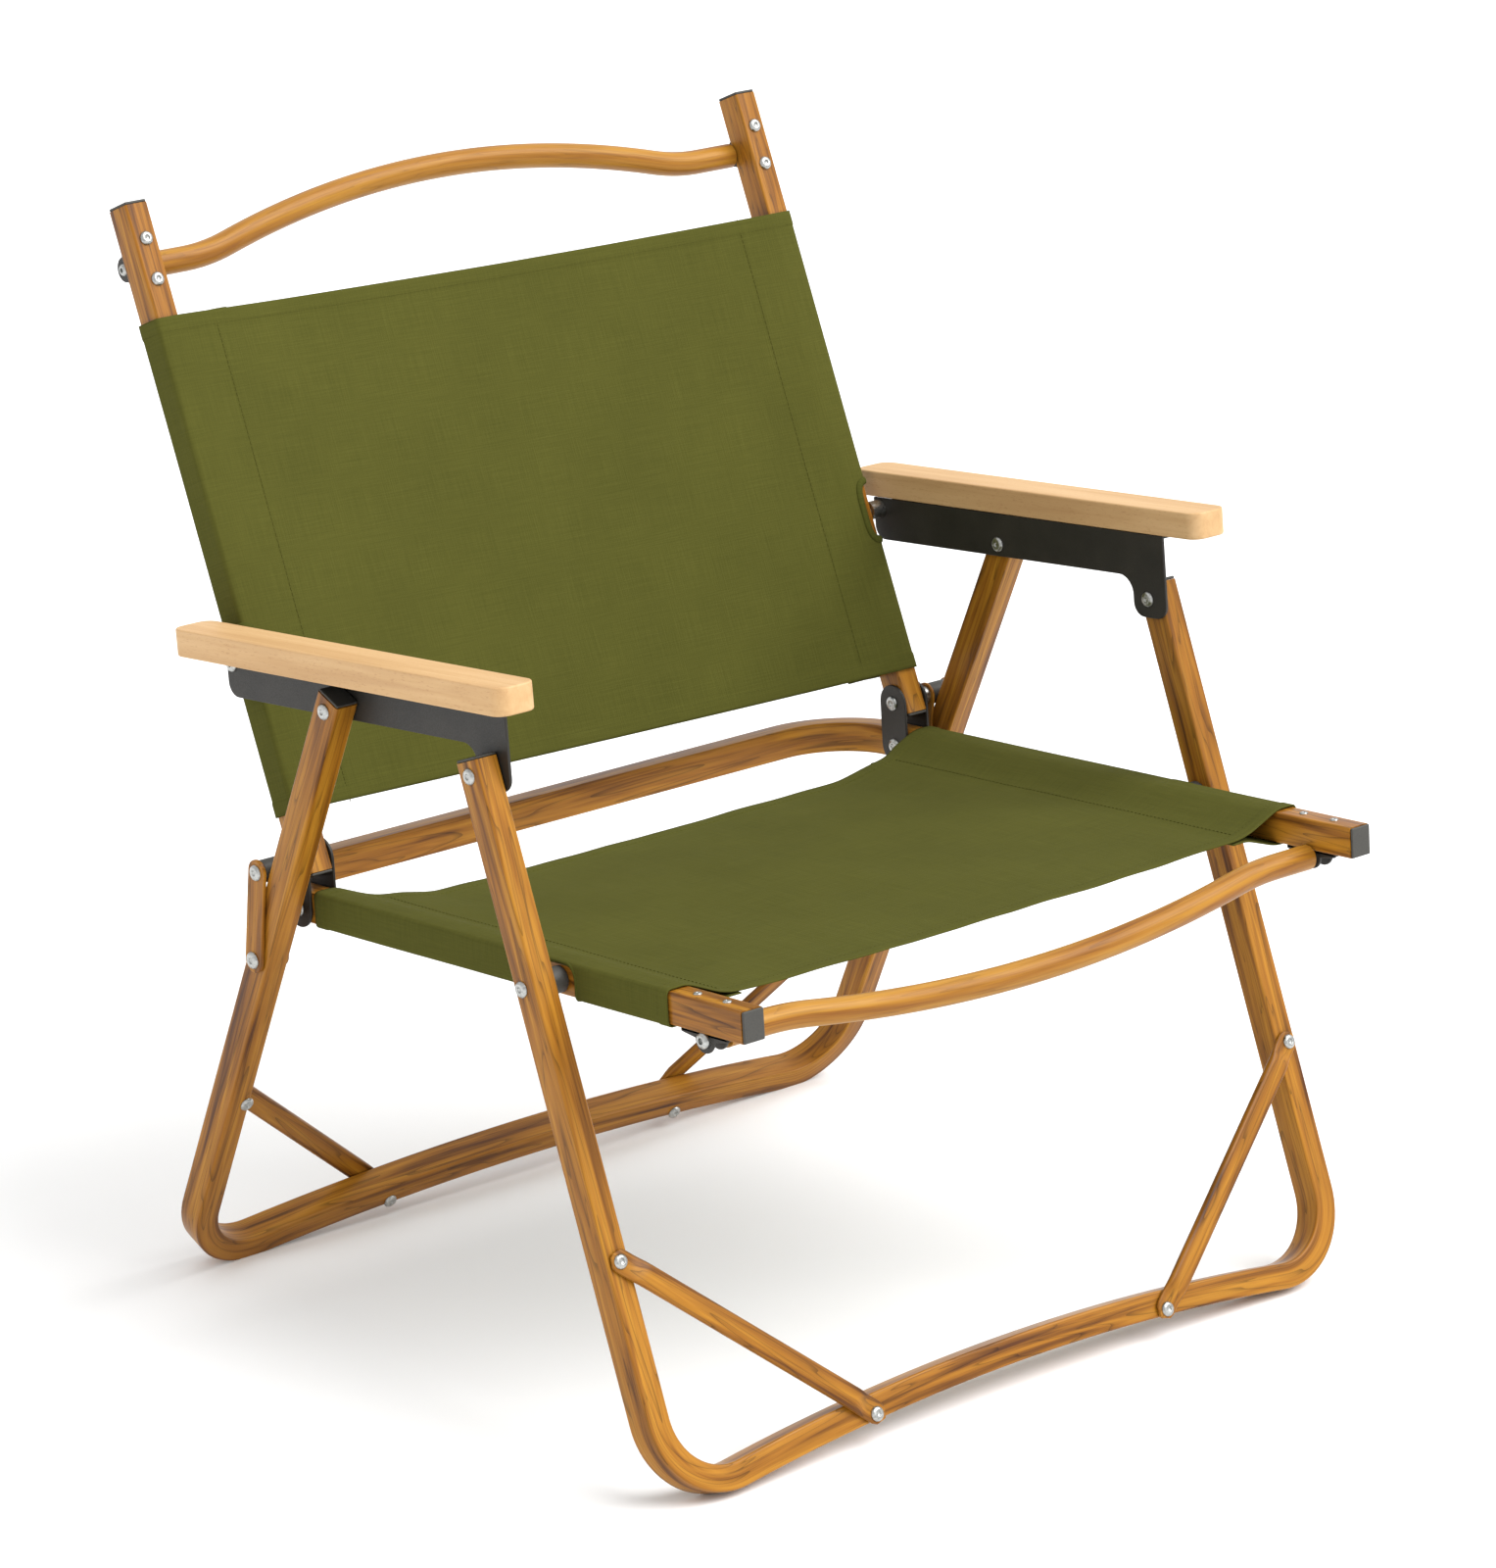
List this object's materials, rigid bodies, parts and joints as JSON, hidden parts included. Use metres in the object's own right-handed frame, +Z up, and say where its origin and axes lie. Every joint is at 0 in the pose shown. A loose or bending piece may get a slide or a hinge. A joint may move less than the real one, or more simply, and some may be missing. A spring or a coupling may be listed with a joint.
{
  "type": "folding director chair",
  "caption": "Low folding camping chair with two U-shaped square-tube leg frames, a canvas sling seat and back, wooden armrests and a round carrying bar across the back.",
  "frame": {"origin": "middle of the bounding box on the floor", "axes": "+Z up, the sitter faces -Y, +X runs to the viewer's right when the chair is seen from the front"},
  "size_m": [0.578, 0.5948, 0.6705],
  "materials": {
    "grain_tube": "satin wood-grain film on square tube",
    "pale_bar": "satin pale wood-grain film on round tube",
    "beech": "oiled",
    "canvas": "matt heavy weave",
    "black_plate": "matt powder coat",
    "black_plastic": "moulded",
    "bright_metal": "bright"
  },
  "bodies": {
    "rear_legs": {"arm_pin_rear_left": "bright_metal", "arm_pin_rear_right": "bright_metal", "rear_leg_brace_left": "grain_tube", "rear_leg_brace_right": "grain_tube", "rear_leg_cap_left": "black_plastic", "rear_leg_cap_right": "black_plastic", "rear_leg_frame": "grain_tube"},
    "arms": {"arm_pin_back_left": "bright_metal", "arm_pin_back_right": "bright_metal", "arm_pin_front_left": "bright_metal", "arm_pin_front_right": "bright_metal", "arm_plate_left": "black_plate", "arm_plate_right": "black_plate", "armrest_left": "beech", "armrest_right": "beech"},
    "front_legs": {"front_leg_brace_left": "grain_tube", "front_leg_brace_right": "grain_tube", "front_leg_cap_left": "black_plastic", "front_leg_cap_right": "black_plastic", "front_leg_frame": "grain_tube", "seat_pin_left": "bright_metal", "seat_pin_right": "bright_metal", "seat_spacer_left": "black_plastic", "seat_spacer_right": "black_plastic"},
    "back": {"back_canvas": "canvas", "handle_bar": "pale_bar", "handle_bracket_left": "black_plate", "handle_bracket_right": "black_plate", "post_cap_left": "black_plastic", "post_cap_right": "black_plastic", "post_left": "grain_tube", "post_plug_left": "black_plastic", "post_plug_right": "black_plastic", "post_right": "grain_tube"},
    "seat": {"front_stretcher": "pale_bar", "knee_plate_inner_left": "black_plate", "knee_plate_inner_right": "black_plate", "knee_plate_outer_left": "black_plate", "knee_plate_outer_right": "black_plate", "knee_rivet_left": "bright_metal", "knee_rivet_right": "bright_metal", "seat_canvas": "canvas", "seat_cap_left": "black_plastic", "seat_cap_right": "black_plastic", "seat_frame": "grain_tube", "stretcher_bracket_left": "black_plate", "stretcher_bracket_right": "black_plate"},
    "links": {"link_bush_left": "black_plastic", "link_bush_right": "black_plastic", "link_inner_left": "grain_tube", "link_inner_right": "grain_tube", "link_outer_left": "grain_tube", "link_outer_right": "grain_tube", "link_rivet_left": "bright_metal", "link_rivet_right": "bright_metal", "seat_bolt_left": "bright_metal", "seat_bolt_right": "bright_metal"}
  },
  "joints": [
    {"name": "arm_fold", "type": "hinge", "parent": "rear_legs", "child": "arms", "pos_m": [0, 0.0473, 0.409], "axis": [-1, 0, 0], "range_deg": [0, 49.89]},
    {"name": "front_leg_fold", "type": "hinge", "parent": "arms", "child": "front_legs", "pos_m": [0, -0.0897, 0.4035], "axis": [1, 0, 0], "range_deg": [0, 95]},
    {"name": "back_fold", "type": "hinge", "parent": "arms", "child": "back", "pos_m": [0, 0.1603, 0.4085], "axis": [1, 0, 0], "range_deg": [0, 95]},
    {"name": "seat_fold", "type": "hinge", "parent": "back", "child": "seat", "pos_m": [0, 0.1148, 0.292], "axis": [-1, 0, 0], "range_deg": [0, 95]},
    {"name": "link_fold", "type": "hinge", "parent": "seat", "child": "links", "pos_m": [0, 0.1148, 0.292], "axis": [-1, 0, 0], "range_deg": [0, 73.51]}
  ],
  "couplings": [
    {"joint": "front_leg_fold", "follows": "arm_fold", "ratio": 1.9041},
    {"joint": "back_fold", "follows": "arm_fold", "ratio": 1.9041},
    {"joint": "seat_fold", "follows": "arm_fold", "ratio": 1.9041},
    {"joint": "link_fold", "follows": "arm_fold", "ratio": 1.4734}
  ]
}
